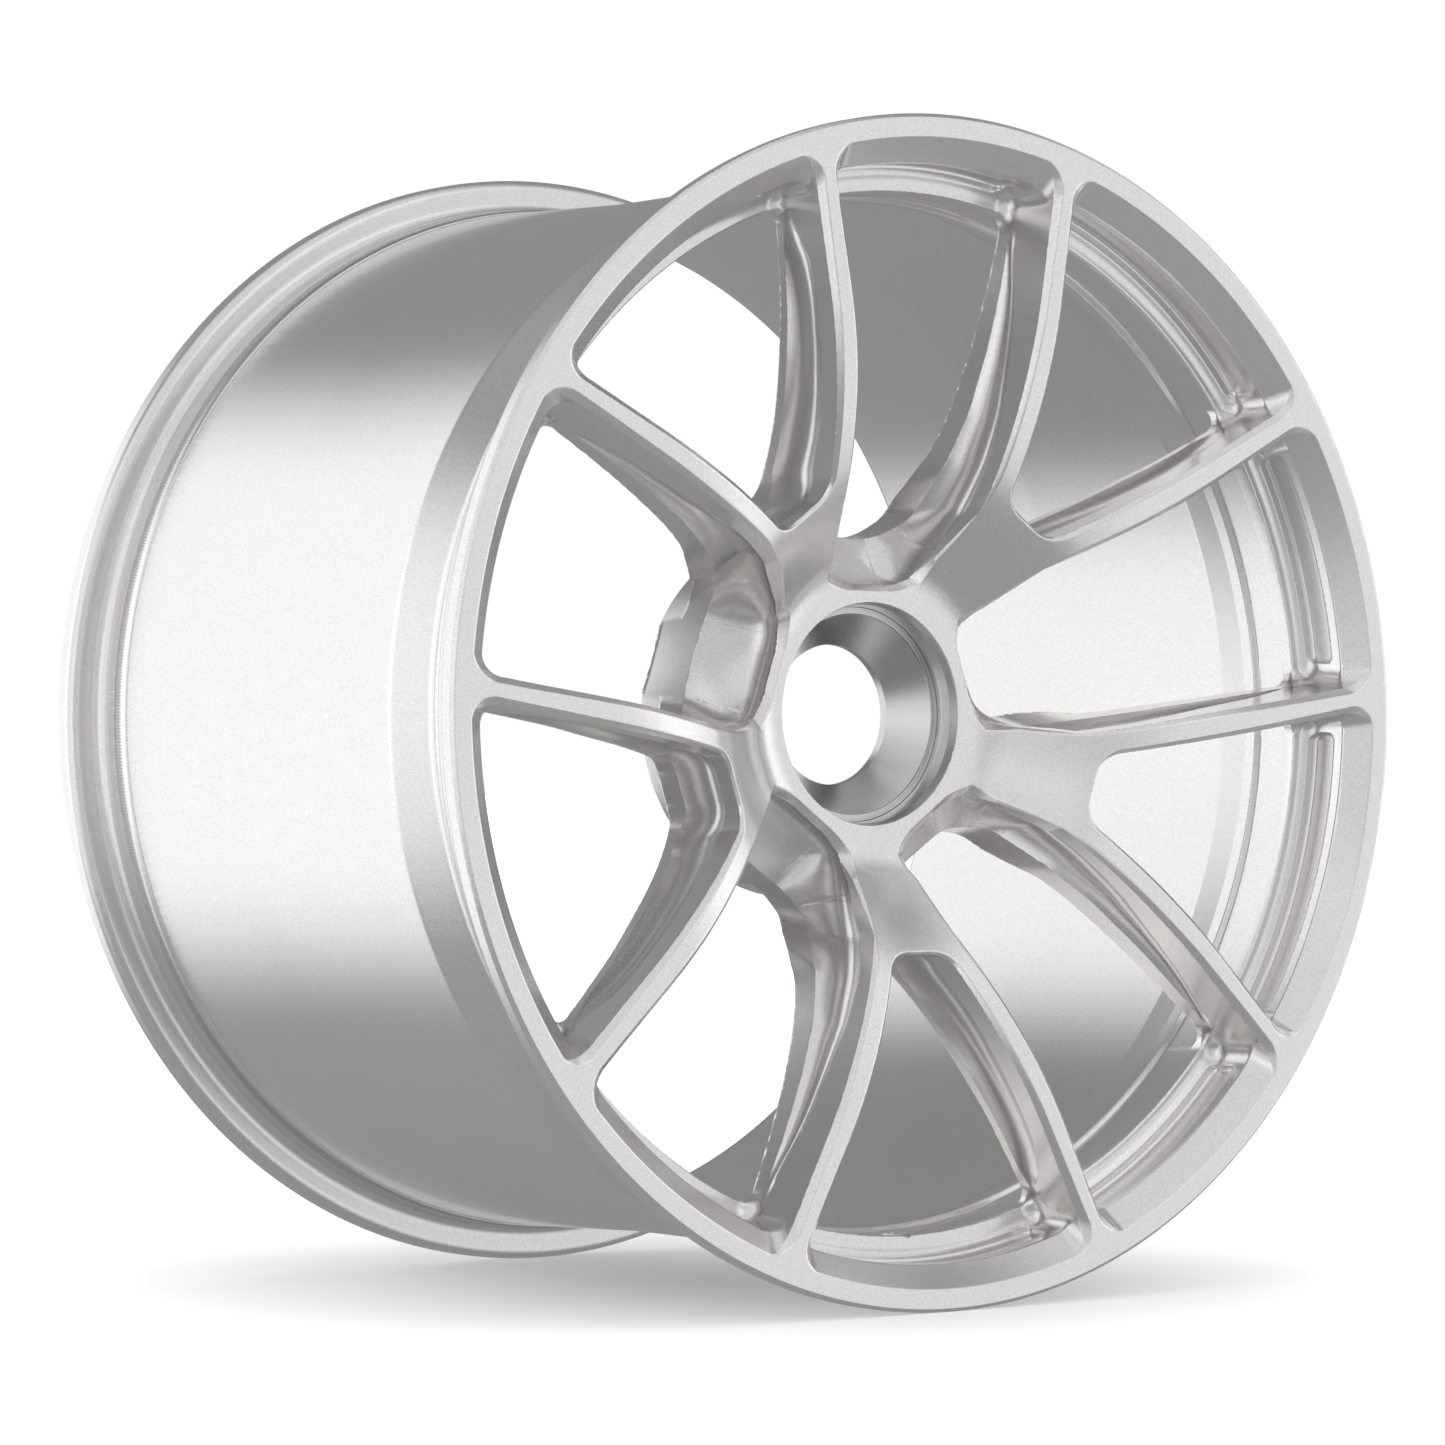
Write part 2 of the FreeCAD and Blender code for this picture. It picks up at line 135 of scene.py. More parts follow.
def outline_distance(outline, u, v):
    """Distance to a closed outline, negative inside, and the nearest point's own u and v."""
    shape = np.broadcast(u, v).shape
    best, share, edge = np.full(shape, 1e9), np.zeros(shape), np.zeros(shape, np.int16)
    inside = np.zeros(shape, bool)
    start, length = outline.points, np.roll(outline.points, -1, 0) - outline.points
    for number, ((au, av), (eu, ev)) in enumerate(zip(start, length)):
        wu, wv = u - au, v - av
        along = np.clip((wu * eu + wv * ev) / (eu * eu + ev * ev), 0, 1)
        square = (wu - along * eu) ** 2 + (wv - along * ev) ** 2
        closer = square < best
        best = np.where(closer, square, best)
        share = np.where(closer, along, share)
        edge = np.where(closer, number, edge)
        if ev != 0:
            inside ^= ((v >= av) != (v >= av + ev)) & (wu < wv * (eu / ev))
    near_u, near_v = (start[edge, k] + share * length[edge, k] for k in (0, 1))
    signed = np.where(inside, -1, 1) * np.sqrt(best)
    centre_u, centre_v, radius, side = (outline.arcs[edge, k] for k in range(4))
    away_u, away_v = u - centre_u, v - centre_v
    away = np.maximum(np.hypot(away_u, away_v), 1e-6)
    round_edge = radius > 0
    signed = np.where(round_edge, side * (away - radius), signed)
    near_u = np.where(round_edge, centre_u + away_u * radius / away, near_u)
    near_v = np.where(round_edge, centre_v + away_v * radius / away, near_v)
    return signed, near_u, near_v


def arc_depth(radius):
    """Depth of the face's large arc."""
    run = np.clip(FACE_BEND - radius, 0, FACE_BEND)
    return FACE_ARC - np.sqrt(np.maximum(FACE_ARC ** 2 - run ** 2, 0))


DISH_DEPTH = float(arc_depth(DISH_RADIUS))


def face_depth(radius):
    """Depth of the turned face, with its creases left sharp."""
    cone = np.minimum(DISH_DEPTH + (DISH_RADIUS - radius) * CONE_SLOPE, ANNULUS_DEPTH)
    return np.where(radius > DISH_RADIUS, arc_depth(radius), cone)


def face(radius, depth):
    """Distance in front of the turned face: flat at the rim, an arc, a cone, then an annulus."""
    bend = np.hypot(radius - FACE_BEND, depth - FACE_ARC) - FACE_ARC
    arc = np.where(radius < FACE_BEND, bend, -depth)
    cone = (DISH_DEPTH + (DISH_RADIUS - radius) * CONE_SLOPE - depth) / math.hypot(1, CONE_SLOPE)
    return blend_min(blend_max(arc, cone, 5.0), ANNULUS_DEPTH - depth, 9.0)


def back_depth(radius):
    """Depth of the back of the spokes."""
    return 34.0 + 53.0 * math.exp(-(radius - 111.0) / 53.1)


def side_section(mirror):
    """Lip, flange and bead seat at one side of the rim, from the lip inwards."""
    corners = [(FLANGE - LIP, 0.0, 0.5), (FLANGE, LIP, 0.5), (FLANGE, FLANGE_WIDTH, 6.0),
               (SEAT + 0.5, FLANGE_WIDTH, 6.5), (SEAT_LOW, SEAT_WIDTH, 2.0)]
    return [(r, WIDTH - d, c) for r, d, c in corners[::-1]] if mirror else corners


# the turned blank's section as (radius, depth, corner rounding), once round from the front lip
BLANK = Outline(
    side_section(False)
    + [(SEAT_LOW + HUMP_HEIGHT, SEAT_WIDTH + HUMP_TOP, HUMP_ROUNDING),
       (SEAT_LOW, SEAT_WIDTH + HUMP_END, HUMP_ROUNDING), (WELL, WELL_START, 4.0),
       (WELL, WELL_END, 6.0), (BARREL, BARREL_START, 7.0), (BARREL, BARREL_FLARE, FLARE_ROUNDING)]
    + side_section(True)
    + [(FLANGE - 8, WIDTH, 1.5), (SEAT - 5, WIDTH - 9, 6.0), (SEAT - 6.5, WIDTH - 45, 40.0),
       (BARREL - WALL, BARREL_FLARE, FLARE_ROUNDING), (BARREL - WALL, BARREL_START_INSIDE, 7.0),
       (WELL - WALL, WELL_END_INSIDE, 3.0), (WELL - WALL, WELL_START_INSIDE, 0.8),
       (LEDGE, LEDGE_REAR, 0.8), (LEDGE, LEDGE_FRONT, 4.0)]
    + [(r, back_depth(r), 0.0) for r in np.linspace(SPOKE_FOOT, SPOKE_ROOT, BACK_STEPS)]
    + [(PAD_RADIUS, back_depth(PAD_RADIUS), 0.6), (PAD_RADIUS, PAD_DEPTH, 1.2),
       (RECESS_RADIUS, PAD_DEPTH, 1.0), (RECESS_RADIUS, RECESS_DEPTH, 1.0),
       (RING_RADIUS, RECESS_DEPTH, 0.6), (RING_RADIUS, NOSE_REAR, 0.0),
       (NOSE_RADIUS, NOSE_REAR, 0.0), (NOSE_RADIUS, NOSE_FRONT, 0.0),
       (INSERT_RADIUS, NOSE_FRONT, 0.0), (INSERT_RADIUS, 74.0, 2.0), (52.9, 67.0, 6.0),
       (COVE_RADIUS, 60.0, 0.0), (COVE_RADIUS, 0.0, 0.0)])
# the outer bound of every window, in the same section: the bevel, the slot's wall and the ledge
WINDOW_RIM = Outline([(0.0, -8.0, 0.0), (281.9, -8.0, 0.0), (262.0, 10.6, 1.2), (260.5, 34.0, 9.0),
                      (LEDGE, 34.0, 1.0), (LEDGE, 58.0, 0.0), (242.0, 66.0, 0.0),
                      (242.0, 136.0, 0.0), (0.0, 136.0, 0.0)])
WINDOW_CORNER = 9.5
SLOT_MIDDLE, SLOT_HALF, SLOT_FLOOR, SLOT_MARGIN = 24.15, 7.65, 263.5, 10.0


def smooth_table(places, values, blur=5.0):
    """A table of values over the radius, with its kinks smoothed out."""
    reach = int(3 * blur)
    fine = np.arange(places[0] - 2 * reach, places[-1] + 2 * reach, 1.0)
    kernel = np.exp(-0.5 * (np.arange(-reach, reach + 1) / blur) ** 2)
    padded = np.pad(np.interp(fine, places, values), reach, "edge")
    return fine, np.convolve(padded, kernel / kernel.sum(), "valid")


def mirrored(corners):
    """A whole outline from the corners at one side of its axis."""
    return Outline([(-u, v, c) for u, v, c in corners] + corners[::-1])


def to_gap(x, y, corner):
    """A corner given in the arm's plane, in the plane of the gap beside it."""
    half = ARM_TURN / 2
    return (y * math.sin(half) - x * math.cos(half), y * math.cos(half) + x * math.sin(half),
            corner)


# slope of the gap windows' walls behind the ridge, over the radius
FLANK_LEAN = smooth_table(
    (88, 100, 108, 120, 134, 150), (0, 0.28, 0.4, 0.38, 0.14, 0.1), 3.0)
CHAMFER_RADII, CHAMFERS = (60, 75, 110, 250), (2.5, 2.0, 1.8, 3.5)


class Window:
    """One kind of window: its front edge, the slope of its walls, and the scoop milled into them.

    The scoop runs between a front and a rear depth. Its rear edge follows the wall, or an outline
    of its own, the ridge. foot gives the window a straight inner end: its distance from the wheel
    axis, half its length and its rounding.
    """

    def __init__(self, outline, slopes, scoop_front, scoop_rear, scoop_height,
                 foot=None, ridge=None):
        self.outline, self.foot, self.ridge = outline, foot, ridge
        self.slopes, self.scoop_front = smooth_table(*slopes), smooth_table(*scoop_front)
        self.scoop_rear = smooth_table(*scoop_rear, 3.0)
        self.scoop_height = smooth_table(*scoop_height)

    def edge(self, x, y):
        """Distance to the front edge in the window's plane, and the radius of the nearest edge."""
        edge, near_x, near_y = outline_distance(self.outline, x, y)
        near = np.hypot(near_x, near_y)
        if self.foot:
            place, half, size = self.foot
            share = np.clip(0.5 + (place - y - edge) / (2 * size), 0, 1)
            near = share * np.hypot(np.minimum(np.abs(x), half), place) + (1 - share) * near
            edge = blend_max(edge, place - y, size)
        return edge, near

    def space(self, x, y, radius, depth):
        """Distance to the window's space, negative in the air."""
        edge, near = self.edge(x, y)
        below = depth - face_depth(near)
        chamfer = np.interp(near, CHAMFER_RADII, CHAMFERS)
        slope = np.interp(near, *self.slopes)
        plain = edge + chamfer + slope * (below - chamfer)
        front = np.interp(near, *self.scoop_front)
        start = plain - slope * (depth - front)
        if self.ridge is None:
            rear_near, lean = near, slope
            rear = np.interp(near, *self.scoop_rear)
            ridge = plain - slope * (depth - rear)
        else:
            ridge, near_x, near_y = outline_distance(self.ridge, x, y)
            rear_near = np.hypot(near_x, near_y)
            rear = np.interp(rear_near, *self.scoop_rear)
            lean = np.interp(rear_near, *FLANK_LEAN)
        height = np.interp(rear_near, *self.scoop_height)
        share = (depth - front) / (rear - front)
        scooped = start + (ridge - start) * share - 4 * height * share * (1 - share)
        tilt = (ridge - start - 4 * height * (1 - 2 * share)) / (rear - front)
        behind = ridge + lean * (depth - rear)
        wall = np.where(share < 0, plain, np.where(share > 1, behind, scooped))
        wall = wall / np.hypot(1, np.where(share < 0, slope, np.where(share > 1, lean, tilt)))
        bevel = (edge + below) / math.sqrt(2)
        rim = outline_distance(WINDOW_RIM, radius, depth)[0]
        opening = round_max(np.minimum(bevel, wall), rim, WINDOW_CORNER)
        slot = round_max(wall + SLOT_MARGIN, np.abs(depth - SLOT_MIDDLE) - SLOT_HALF, 4.0)
        return blend_min(opening, round_max(slot, radius - SLOT_FLOOR, 2.5), 0.5)


FORK_RADII = (126, 140, 160, 180, 200, 215, 228, 236, 240)
FORK = Window(
    mirrored([(113.8, 300.0, 0.0), (17.3, 113.7, 16.0)]),
    slopes=((126, 180, 205), (0.04, 0.031, 0.01)),
    scoop_front=(FORK_RADII, (36, 27, 20, 16.5, 14.5, 14.5, 17, 24, 26)),
    scoop_rear=(FORK_RADII, (66, 57, 48, 42, 38, 36, 34.5, 33, 31)),
    scoop_height=(FORK_RADII, (4.6, 5, 5.4, 5.2, 4.5, 3.5, 2.2, 0.5, 0)))
GAP = Window(
    mirrored([to_gap(119.0, 300.0, 0.0), to_gap(81.7, 225.0, 900.0),
              to_gap(52.9, 165.0, 900.0),
              to_gap(22.5, 106.0, 4.5), (5.15, 18.5, 0.0)]),
    foot=(59.8, 24.5, 14.0),
    slopes=((60, 66, 74, 100, 112, 150), (0.69, 0.62, 0.28, 0.24, 0.16, 0.11)),
    scoop_front=((66, 95, 110, 130, 154, 180, 200, 215, 230, 240),
                 (65.5, 47, 37, 26, 20, 19.5, 20, 22, 26, 27)),
    scoop_rear=((87.5, 91.5, 95, 100, 110, 115, 130, 154, 180, 200, 215, 240),
                (97, 92, 88, 82, 73, 68.5, 56, 43, 36, 33, 31.5, 30.5)),
    scoop_height=((87.5, 92, 100, 110, 130, 154, 180, 200, 215, 230, 240),
                  (14, 12, 9.5, 8, 6.5, 5, 4, 3.2, 2.2, 1, 0)),
    ridge=mirrored([to_gap(124.6, 297.1, 0.0), to_gap(87.3, 222.1, 900.0),
                    to_gap(58.3, 162.2, 600.0), (37.2, 95.5, 15.0), (25.5, HUB_FLAT, 20.0)]))


def valve_space(x, y, depth):
    """The valve hole, its chamfer and its spot face."""
    off_axis = np.hypot(x, depth - VALVE_DEPTH)
    hole = off_axis - VALVE_RADIUS
    chamfer = (off_axis - VALVE_RADIUS - (SPOT_HEIGHT + 1.2 - y)) / math.sqrt(2)
    spot = np.maximum(off_axis - SPOT_RADIUS, y - SPOT_HEIGHT)
    return np.maximum(np.minimum(np.minimum(hole, spot), chamfer), 230.0 - y)


def forging(radius, turn, depth, valve=False):
    """Distance to the surface, negative in the metal. turn is measured from an arm's middle."""
    blank = blend_max(outline_distance(BLANK, radius, depth)[0], face(radius, depth), 0.5)
    x, y = radius * np.sin(turn), radius * np.cos(turn)
    half = ARM_TURN / 2
    gap_x, gap_y = radius * np.sin(half - turn), radius * np.cos(half - turn)
    metal = blend_max(blank, -FORK.space(x, y, radius, depth), 0.5)
    metal = blend_max(metal, -GAP.space(gap_x, gap_y, radius, depth), 0.5)
    pocket = np.maximum(np.hypot(x, y - BUSH_CIRCLE) - BUSH_RADIUS, BUSH_FRONT - depth)
    metal = np.maximum(metal, -pocket)
    if valve:
        metal = np.maximum(metal, -valve_space(x, y, depth))
    return metal


def metal_at(points, valve):
    """The field at points (across, along the arm, depth)."""
    x, y, depth = points.T
    return forging(np.hypot(x, y), np.arctan2(x, y), depth, valve)


def slope_at(points, valve, reach=0.08):
    """The field's unit gradient, from four samples at a tetrahedron's corners."""
    total = np.zeros_like(points)
    for corner in np.array([(1, -1, -1), (-1, -1, 1), (-1, 1, -1), (1, 1, 1)]) * reach:
        total += metal_at(points + corner, valve)[:, None] * corner
    return total / np.maximum(np.linalg.norm(total, axis=1, keepdims=True), 1e-12)


def in_parts(function, points, valve, size=60000):
    """function over all the points, a part at a time, to keep memory small."""
    starts = range(0, len(points), size)
    return np.concatenate([function(points[i:i + size], valve) for i in starts])


# ---- meshing one half sector, from an arm's middle to the middle of the gap beside it ----
SECTOR_STEPS = 100
STEP = ARM_TURN / 2 / SECTOR_STEPS
# the grid is fine at the hub, the rim and the spokes, and coarse along the plain barrel
RADII = np.concatenate([
    np.arange(42.5, 120, 1.15), np.arange(120, 243.5, 1.9), np.arange(243.5, 285.5, 1.05)])
DEPTHS = np.concatenate([
    np.arange(-1.6, 16, 1.05), np.arange(16, 62, 1.3), np.arange(62, 131.5, 1.35),
    np.arange(132, 312, 6.0), np.arange(312, WIDTH + 2.5, 1.15)])
TURNS = (np.arange(SECTOR_STEPS + 2) - 0.5) * STEP
SPOKE_LAYERS = int(np.searchsorted(DEPTHS, PAD_DEPTH + 2)) + 1
PULL = 0.08  # how strongly each vertex is held to the middle of its cell's crossings
TRIANGLES = 420000

# shading, in millimetres and degrees
SAMPLE_INSET, LARGEST_INSET_SHARE = 0.45, 0.5
FOLD_ANGLE, CREASE_ANGLE = 30, 14
MOST_SHARED_CORNERS = 12


def sector_field(valve):
    """The field on the grid. Behind the hub there are no windows, so the blank alone is enough."""
    radius, turn, depth = RADII[:, None, None], TURNS[None, :, None], DEPTHS[None, None, :]
    field = np.empty((len(RADII), len(TURNS), len(DEPTHS)))
    field[:, :, :SPOKE_LAYERS] = forging(radius, turn, depth[:, :, :SPOKE_LAYERS], valve)
    field[:, :, SPOKE_LAYERS:] = outline_distance(BLANK, radius, depth[:, :, SPOKE_LAYERS:])[0]
    return field


def crossings(field, axis):
    """Grid edges along an axis that cross the surface: lower corners, points, and which way out."""
    count = field.shape[axis] - 1
    first, last = np.take(field, range(count), axis), np.take(field, range(1, count + 1), axis)
    cells = np.argwhere((first < 0) != (last < 0))
    a, b = first[tuple(cells.T)], last[tuple(cells.T)]
    share = a / (a - b)
    grids = (RADII, TURNS, DEPTHS)
    place = [grids[k][cells[:, k]] for k in range(3)]
    place[axis] = place[axis] + share * (grids[axis][cells[:, axis] + 1] - place[axis])
    radius, turn, depth = place
    points = np.stack([radius * np.sin(turn), radius * np.cos(turn), depth], 1)
    return cells, points, a < 0


CELLS_ROUND_AN_EDGE = ((1, 1), (0, 1), (0, 0), (1, 0))


def sector_mesh(valve):
    """Dual contouring: one vertex in each cell the surface passes, set on the cell's creases."""
    field = sector_field(valve)
    shape = np.array(field.shape)
    stride = np.array([shape[1] * shape[2], shape[2], 1])
    owners, normals, places, quads = [], [], [], []
    for axis in range(3):
        cells, points, outward = crossings(field, axis)
        slopes = in_parts(slope_at, points, valve)
        across, up = [k for k in range(3) if k != axis]
        inner = (cells[:, across] > 0) & (cells[:, up] > 0) & (cells[:, across] < shape[across] - 1)
        inner &= cells[:, up] < shape[up] - 1
        if axis == 1:
            inner &= (cells[:, 1] > 0) & (cells[:, 1] < SECTOR_STEPS)
        code = cells @ stride
        around = [code - stride[across] * i - stride[up] * j for i, j in CELLS_ROUND_AN_EDGE]
        for neighbour, back in zip(around, CELLS_ROUND_AN_EDGE):
            real = (cells[:, across] >= back[0]) & (cells[:, up] >= back[1])
            owners.append(neighbour[real])
            places.append(points[real])
            normals.append(slopes[real])
        quad = np.stack(around, 1)[inner]
        flip = outward[inner] == (axis != 1)
        quad[flip] = quad[flip][:, ::-1]
        quads.append(quad)
    owners, places = np.concatenate(owners), np.concatenate(places)
    normals, quads = np.concatenate(normals), np.concatenate(quads)
    used, quads = np.unique(quads, return_inverse=True)
    quads = quads.reshape(-1, 4)
    slot = np.searchsorted(used, owners)
    keep = (slot < len(used)) & (used[np.minimum(slot, len(used) - 1)] == owners)
    slot, places, normals = slot[keep], places[keep], normals[keep]

    def total(values):
        return np.bincount(slot, values, len(used))

    count = total(np.ones(len(slot)))
    middle = np.stack([total(places[:, k]) for k in range(3)], 1) / count[:, None]
    lead = np.einsum("ij,ij->i", normals, places - middle[slot])
    matrix = np.empty((len(used), 3, 3))
    for i in range(3):
        for j in range(3):
            matrix[:, i, j] = total(normals[:, i] * normals[:, j]) + (PULL if i == j else 0)
    right = np.stack([total(normals[:, k] * lead) for k in range(3)], 1)
    vertices = middle + np.linalg.solve(matrix, right[:, :, None])[:, :, 0]
    vertices = inside_cells(vertices, used, stride)
    layer = used // stride[1] % shape[1]
    return vertices, quads, layer


def inside_cells(vertices, used, stride):
    """Keeps each vertex in its own cell, and those of the mirror planes on their plane."""
    cell = [used // stride[0], used % stride[0] // stride[1], used % stride[1]]
    radius = np.clip(np.hypot(vertices[:, 0], vertices[:, 1]), RADII[cell[0]], RADII[cell[0] + 1])
    turn = np.clip(np.arctan2(vertices[:, 0], vertices[:, 1]), TURNS[cell[1]], TURNS[cell[1] + 1])
    turn = np.where(cell[1] == 0, 0.0, np.where(cell[1] == SECTOR_STEPS, ARM_TURN / 2, turn))
    depth = np.clip(vertices[:, 2], DEPTHS[cell[2]], DEPTHS[cell[2] + 1])
    return np.stack([radius * np.sin(turn), radius * np.cos(turn), depth], 1)


def whole_wheel():
    """Ten half sectors, turned and mirrored round the axis and joined at their shared vertices."""
    plain, with_valve = sector_mesh(False), sector_mesh(True)
    points, faces, numbers = [], [], {}
    start = 0
    for side in (1, -1):
        for arm in range(ARM_COUNT):
            vertices, quads, layer = with_valve if arm == VALVE_ARM else plain
            middle, edge = layer == 0, layer == SECTOR_STEPS
            fresh = np.ones(len(vertices), bool) if side == 1 else ~(middle | edge)
            number = np.zeros(len(vertices), int)
            number[fresh] = start + np.arange(fresh.sum())
            if side == -1:
                number[middle] = numbers[arm][0]
                number[edge] = numbers[(arm - 1) % ARM_COUNT][1]
            else:
                numbers[arm] = (number[middle], number[edge])
            start += fresh.sum()
            angle = FIRST_ARM + arm * ARM_TURN
            across, along = side * vertices[:, 0], vertices[:, 1]
            turned = np.stack([along * math.cos(angle) - across * math.sin(angle),
                               vertices[:, 2] - WIDTH / 2,
                               along * math.sin(angle) + across * math.cos(angle)], 1)
            points.append(turned[fresh])
            ring = number[quads]
            faces.append(ring if side == 1 else ring[:, ::-1])
    return np.concatenate(points), np.concatenate(faces)


def to_sector(points):
    """The whole wheel's points, in millimetres, folded into one half sector, and what undoes it."""
    x, y, z = points.T
    angle = np.arctan2(z, x) - FIRST_ARM
    arm = np.round(angle / ARM_TURN)
    angle = angle - arm * ARM_TURN
    radius, side = np.hypot(x, z), np.where(angle < 0, -1.0, 1.0)
    folded = np.stack([radius * np.sin(np.abs(angle)), radius * np.cos(angle), y + WIDTH / 2], 1)
    return folded, arm.astype(int) % ARM_COUNT, side


def wheel_slopes(points):
    """The forging's outward directions at points of the whole wheel."""
    folded, arm, side = to_sector(points)
    slopes = np.empty_like(points)
    for valve in (False, True):
        chosen = (arm == VALVE_ARM) == valve
        slopes[chosen] = in_parts(slope_at, folded[chosen], valve)
    angle = FIRST_ARM + arm * ARM_TURN
    across, along = side * slopes[:, 0], slopes[:, 1]
    return np.stack([along * np.cos(angle) - across * np.sin(angle), slopes[:, 2],
                     along * np.sin(angle) + across * np.cos(angle)], 1)


def mesh_object(name, points, faces):
    """A new object from points in metres and faces that all have the same number of corners."""
    mesh = bpy.data.meshes.new(name)
    mesh.vertices.add(len(points))
    mesh.vertices.foreach_set("co", np.ascontiguousarray(points, np.float32).ravel())
    size = faces.shape[1]
    mesh.loops.add(faces.size)
    mesh.loops.foreach_set("vertex_index", faces.astype(np.int32).ravel())
    mesh.polygons.add(len(faces))
    mesh.polygons.foreach_set("loop_start", np.arange(0, faces.size, size, dtype=np.int32))
    mesh.update(calc_edges=True)
    mesh.validate()
    piece = bpy.data.objects.new(name, mesh)
    bpy.context.scene.collection.objects.link(piece)
    return piece


def thin_out(piece, faces):
    """Fewer triangles where the surface is flat, with the modifier's result kept as the mesh."""
    piece.data.calc_loop_triangles()
    thin = piece.modifiers.new("thin", "DECIMATE")
    thin.ratio = faces / len(piece.data.loop_triangles)
    thin.use_collapse_triangulate = True
    evaluated = piece.evaluated_get(bpy.context.evaluated_depsgraph_get())
    mesh = bpy.data.meshes.new_from_object(evaluated)
    piece.modifiers.clear()
    piece.data = mesh


def shade(piece):
    """Corner normals: the field's slope a little inside each face, evened out except at creases."""
    mesh = piece.data
    points = np.empty(len(mesh.vertices) * 3, np.float32)
    mesh.vertices.foreach_get("co", points)
    points = points.reshape(-1, 3).astype(float) / MM
    corners = np.empty(len(mesh.loops), np.int32)
    mesh.loops.foreach_get("vertex_index", corners)
    triangle = points[corners.reshape(-1, 3)]
    flat = np.cross(triangle[:, 1] - triangle[:, 0], triangle[:, 2] - triangle[:, 0])
    area = np.repeat(np.linalg.norm(flat, axis=1), 3)
    face_normals = np.repeat(flat, 3, axis=0) / np.maximum(area, 1e-9)[:, None]
    inwards = np.repeat(triangle.mean(1), 3, axis=0) - points[corners]
    length = np.linalg.norm(inwards, axis=1, keepdims=True)
    share = np.minimum(LARGEST_INSET_SHARE, SAMPLE_INSET / np.maximum(length, 1e-6))
    normals = wheel_slopes(points[corners] + inwards * share)
    wrong = np.einsum("ij,ij->i", normals, face_normals) < math.cos(math.radians(FOLD_ANGLE))
    normals[wrong] = face_normals[wrong]
    order = np.argsort(corners, kind="stable")
    vertex, normal = corners[order], normals[order]
    weight = np.sqrt(area[order])[:, None]
    total = normal * weight
    smooth = math.cos(math.radians(CREASE_ANGLE))
    for step in range(1, MOST_SHARED_CORNERS):
        first, second = slice(None, -step), slice(step, None)
        alike = vertex[first] == vertex[second]
        alike &= np.einsum("ij,ij->i", normal[first], normal[second]) > smooth
        alike = alike[:, None]
        total[first] += alike * normal[second] * weight[second]
        total[second] += alike * normal[first] * weight[first]
    normals[order] = total / np.maximum(np.linalg.norm(total, axis=1, keepdims=True), 1e-9)
    mesh.polygons.foreach_set("use_smooth", np.ones(len(mesh.polygons), bool))
    mesh.normals_split_custom_set(normals.tolist())


def wheel_forging():
    """Rim, spokes and hub, as one mesh."""
    points, faces = whole_wheel()
    piece = mesh_object("forging", points * MM, faces)
    thin_out(piece, TRIANGLES)
    shade(piece)
    return piece


def bead_knurl():
    """The fine straight knurl that keeps the tyre's inner bead from creeping round the rim."""
    teeth, height, grip = 1020, 0.9, 1.0
    start, end = WIDTH - 36.0, WIDTH - 25.5
    rows = [(start, -grip), (start, 0.0), (start + 0.5, 1.0),
            (end - 0.5, 1.0), (end, 0.0), (end, -grip)]
    turn = np.arange(2 * teeth) * math.pi / teeth
    wave = np.arange(2 * teeth) % 2
    points = []
    for depth, lift in rows:
        seat = SEAT_LOW + 0.03 + (depth - (WIDTH - SEAT_WIDTH)) * (SEAT - SEAT_LOW + 0.5) / 20 * (
            depth > WIDTH - SEAT_WIDTH)
        radius = seat + (height * wave * lift if lift > 0 else lift)
        points.append(np.stack([radius * np.cos(turn), np.full(len(turn), depth - WIDTH / 2),
                                radius * np.sin(turn)], 1))
    around, count = np.arange(2 * teeth), 2 * teeth
    faces = []
    for row in range(len(rows)):
        a, b = row * count, (row + 1) % len(rows) * count
        after = (around + 1) % count
        faces.append(np.stack([a + around, a + after, b + after, b + around], 1))
    return mesh_object("bead_knurl", np.concatenate(points) * MM, np.concatenate(faces)[:, ::-1])


# ---- materials ----
def shader(name, **values):
    """A new material, its tree, its node maker, and its shader with constant values set on it."""
    material = bpy.data.materials.new(name)
    material.use_nodes = True
    tree = material.node_tree
    principled = tree.nodes["Principled BSDF"]
    for socket, value in values.items():
        principled.inputs[socket.replace("_", " ")].default_value = value

    def node(kind, **settings):
        made = tree.nodes.new(kind)
        for key, value in settings.items():
            if key in made.inputs:
                made.inputs[key].default_value = value
            else:
                setattr(made, key, value)
        return made

    return material, tree, node, principled


def silver_paint():
    """Bright silver paint: fine aluminium flake under a thin satin clear coat."""
    material, tree, node, paint = shader(
        "silver_paint", Metallic=0.9, Coat_Weight=0.3, Coat_Roughness=0.08, IOR=1.5)
    place = node("ShaderNodeTexCoord")
    flake = node("ShaderNodeTexVoronoi", Scale=2600.0)
    tint = node("ShaderNodeValToRGB")
    tint.color_ramp.elements[0].color = (0.66, 0.648, 0.638, 1)
    tint.color_ramp.elements[1].color = (0.84, 0.83, 0.82, 1)
    tilt = node("ShaderNodeBump", Strength=0.055, Distance=0.0002)
    cloud = node("ShaderNodeTexNoise", Scale=14.0, Detail=3.0)
    rough = node("ShaderNodeMapRange")
    rough.inputs["To Min"].default_value = 0.19
    rough.inputs["To Max"].default_value = 0.24
    link = tree.links.new
    link(place.outputs["Object"], flake.inputs["Vector"])
    link(place.outputs["Object"], cloud.inputs["Vector"])
    link(flake.outputs["Color"], tint.inputs["Fac"])
    link(tint.outputs["Color"], paint.inputs["Base Color"])
    link(flake.outputs["Color"], tilt.inputs["Height"])
    link(tilt.outputs["Normal"], paint.inputs["Normal"])
    link(cloud.outputs["Fac"], rough.inputs["Value"])
    link(rough.outputs["Result"], paint.inputs["Roughness"])
    return material


